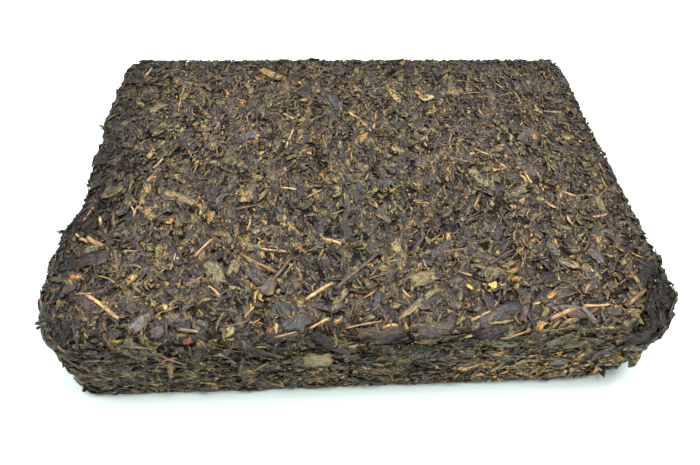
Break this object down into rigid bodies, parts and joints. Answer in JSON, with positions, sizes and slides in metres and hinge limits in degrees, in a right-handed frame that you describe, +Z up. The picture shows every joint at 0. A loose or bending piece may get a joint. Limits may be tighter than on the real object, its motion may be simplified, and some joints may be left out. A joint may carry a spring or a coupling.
{
  "type": "brick tea",
  "caption": "Pressed rectangular slab of dark fermented tea leaf and stems, with ragged rims and a broken corner, to be broken up for brewing.",
  "frame": {"origin": "on the base, under the middle of the brick", "axes": "+X along the length, towards the straight end; +Y across the width, towards the back long face; +Z up, out of the top face"},
  "size_m": [0.2539, 0.178, 0.0479],
  "materials": {
    "pressed_tea": "matte pressed tea leaf, dark grey-brown with tan stems"
  },
  "bodies": {
    "root": {"tea_brick": "pressed_tea"}
  },
  "joints": []
}
